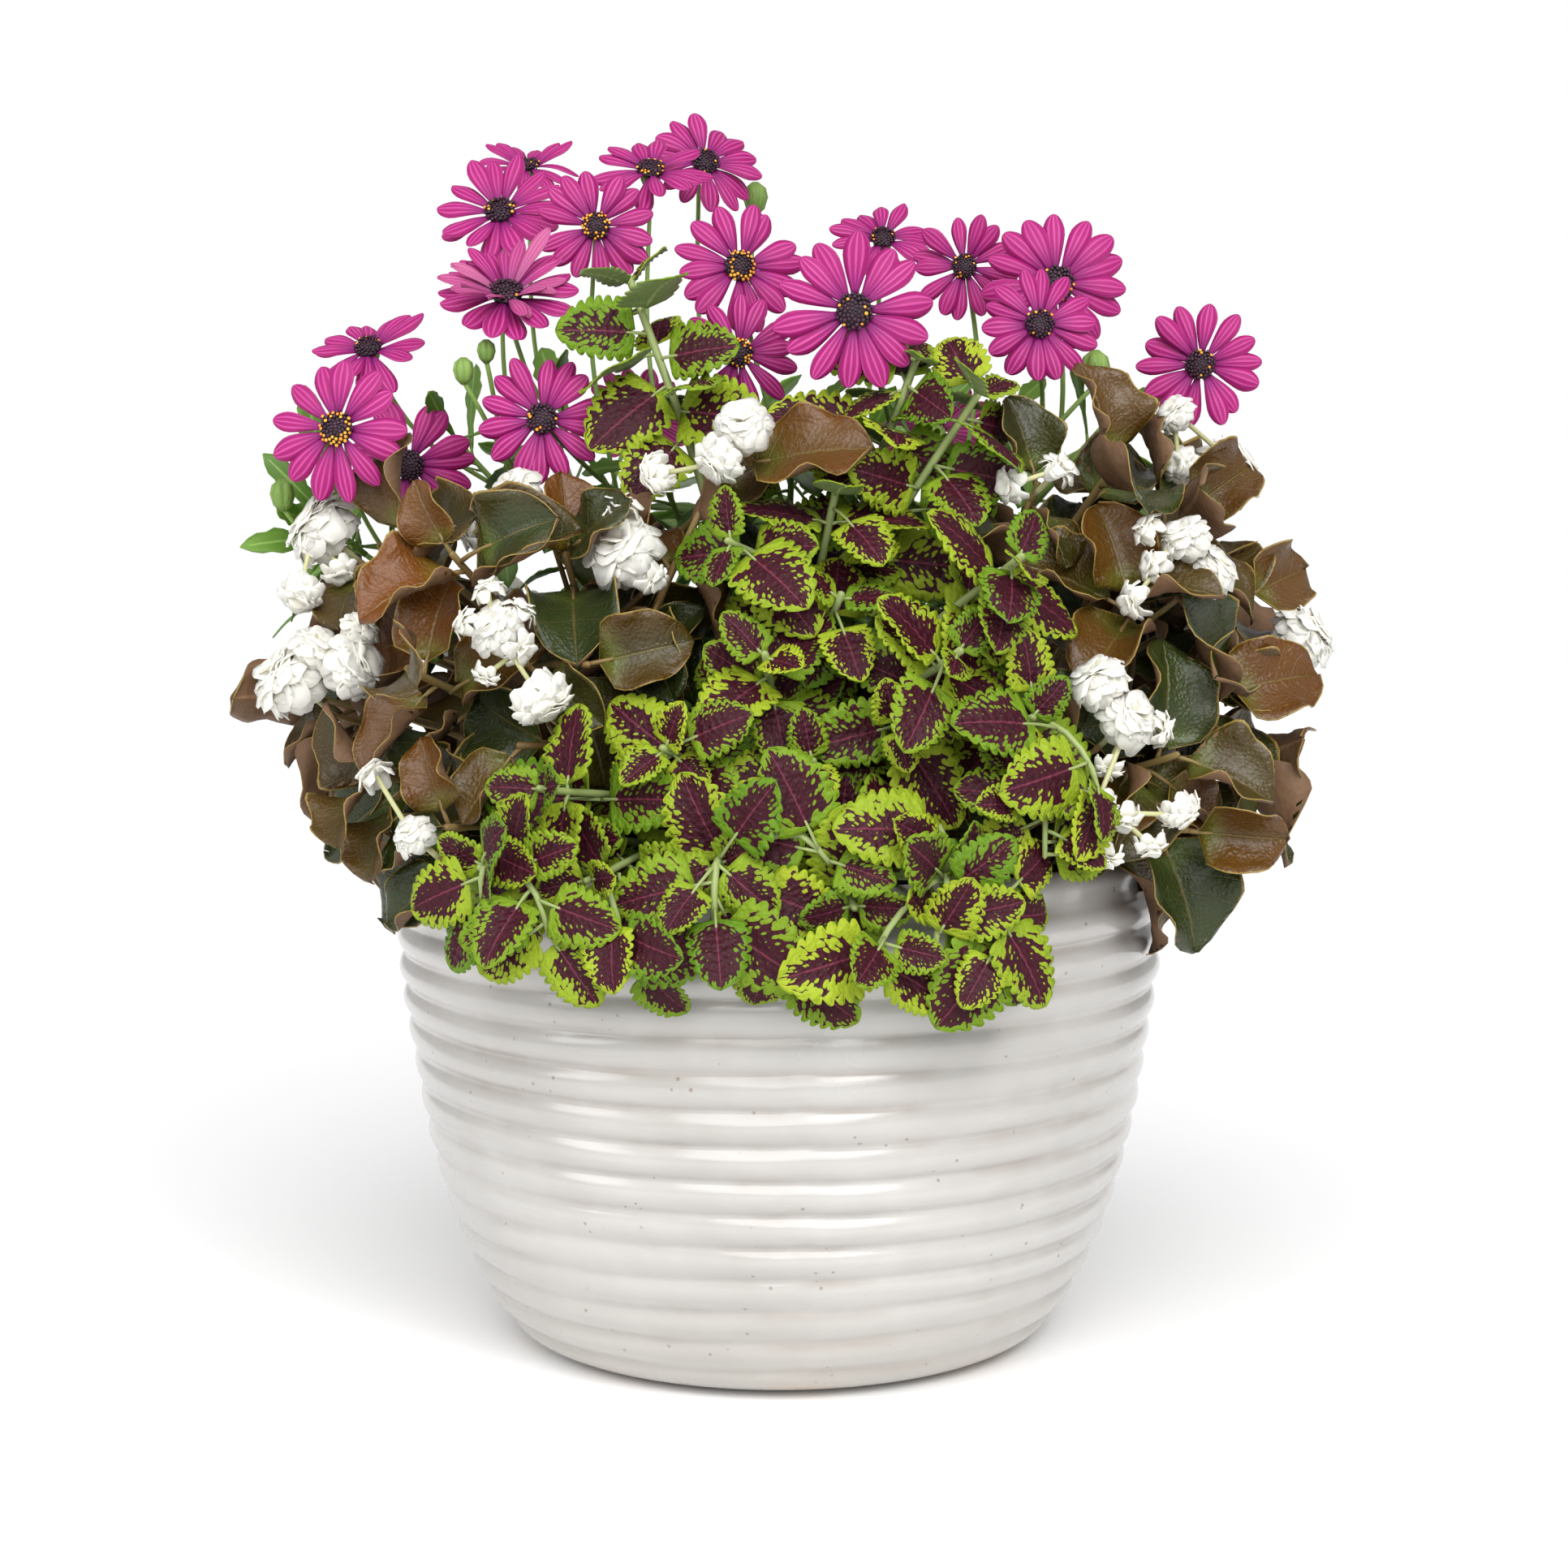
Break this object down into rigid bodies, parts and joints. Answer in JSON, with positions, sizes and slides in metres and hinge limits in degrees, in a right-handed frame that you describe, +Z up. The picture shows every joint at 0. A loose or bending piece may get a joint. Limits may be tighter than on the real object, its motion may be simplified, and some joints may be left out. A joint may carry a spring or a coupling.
{
  "type": "planted pot of osteospermum",
  "caption": "Round ribbed glazed pot filled with soil and planted with magenta osteospermum daisies, white double begonias and a lime and maroon coleus that spills over the rim.",
  "frame": {"origin": "Centre of the flat foot of the pot, on the ground.", "axes": "+Z is up, from the foot to the blooms. -Y is the front, where the coleus spills over the rim. +X is to the right, seen from the front."},
  "size_m": [0.4909, 0.425, 0.5727],
  "materials": {
    "pot_glaze": "gloss",
    "soil": "matte",
    "osteospermum_green": "satin",
    "osteospermum_petal": "satin",
    "osteospermum_eye": "matte",
    "begonia_leaf": "gloss",
    "begonia_flower": "satin",
    "coleus_leaf": "satin"
  },
  "bodies": {
    "root": {"pot": "pot_glaze", "soil": "soil", "osteospermum_stems_leaves": "osteospermum_green", "coleus": "coleus_leaf", "begonia_left_leaves": "begonia_leaf", "begonia_right_leaves": "begonia_leaf", "begonia_flowers_01": "begonia_flower", "begonia_flowers_02": "begonia_flower", "begonia_flowers_03": "begonia_flower", "begonia_flowers_04": "begonia_flower", "begonia_flowers_05": "begonia_flower", "begonia_flowers_06": "begonia_flower", "begonia_flowers_07": "begonia_flower", "begonia_flowers_08": "begonia_flower", "begonia_flowers_09": "begonia_flower", "begonia_flowers_10": "begonia_flower", "begonia_flowers_11": "begonia_flower", "begonia_flowers_12": "begonia_flower", "begonia_flowers_13": "begonia_flower", "begonia_flowers_14": "begonia_flower", "bloom_01_petals": "osteospermum_petal", "bloom_01_eye": "osteospermum_eye", "bloom_02_petals": "osteospermum_petal", "bloom_02_eye": "osteospermum_eye", "bloom_03_petals": "osteospermum_petal", "bloom_03_eye": "osteospermum_eye", "bloom_04_petals": "osteospermum_petal", "bloom_04_eye": "osteospermum_eye", "bloom_05_petals": "osteospermum_petal", "bloom_05_eye": "osteospermum_eye", "bloom_06_petals": "osteospermum_petal", "bloom_06_eye": "osteospermum_eye", "bloom_07_petals": "osteospermum_petal", "bloom_07_eye": "osteospermum_eye", "bloom_08_petals": "osteospermum_petal", "bloom_08_eye": "osteospermum_eye", "bloom_09_petals": "osteospermum_petal", "bloom_09_eye": "osteospermum_eye", "bloom_10_petals": "osteospermum_petal", "bloom_10_eye": "osteospermum_eye", "bloom_11_petals": "osteospermum_petal", "bloom_11_eye": "osteospermum_eye", "bloom_12_petals": "osteospermum_petal", "bloom_12_eye": "osteospermum_eye", "bloom_13_petals": "osteospermum_petal", "bloom_13_eye": "osteospermum_eye", "bloom_14_petals": "osteospermum_petal", "bloom_14_eye": "osteospermum_eye", "bloom_15_petals": "osteospermum_petal", "bloom_15_eye": "osteospermum_eye", "bloom_16_petals": "osteospermum_petal", "bloom_16_eye": "osteospermum_eye", "bloom_17_petals": "osteospermum_petal", "bloom_17_eye": "osteospermum_eye", "bloom_18_petals": "osteospermum_petal", "bloom_18_eye": "osteospermum_eye", "bloom_19_petals": "osteospermum_petal", "bloom_19_eye": "osteospermum_eye", "bloom_20_petals": "osteospermum_petal", "bloom_20_eye": "osteospermum_eye"}
  },
  "joints": []
}
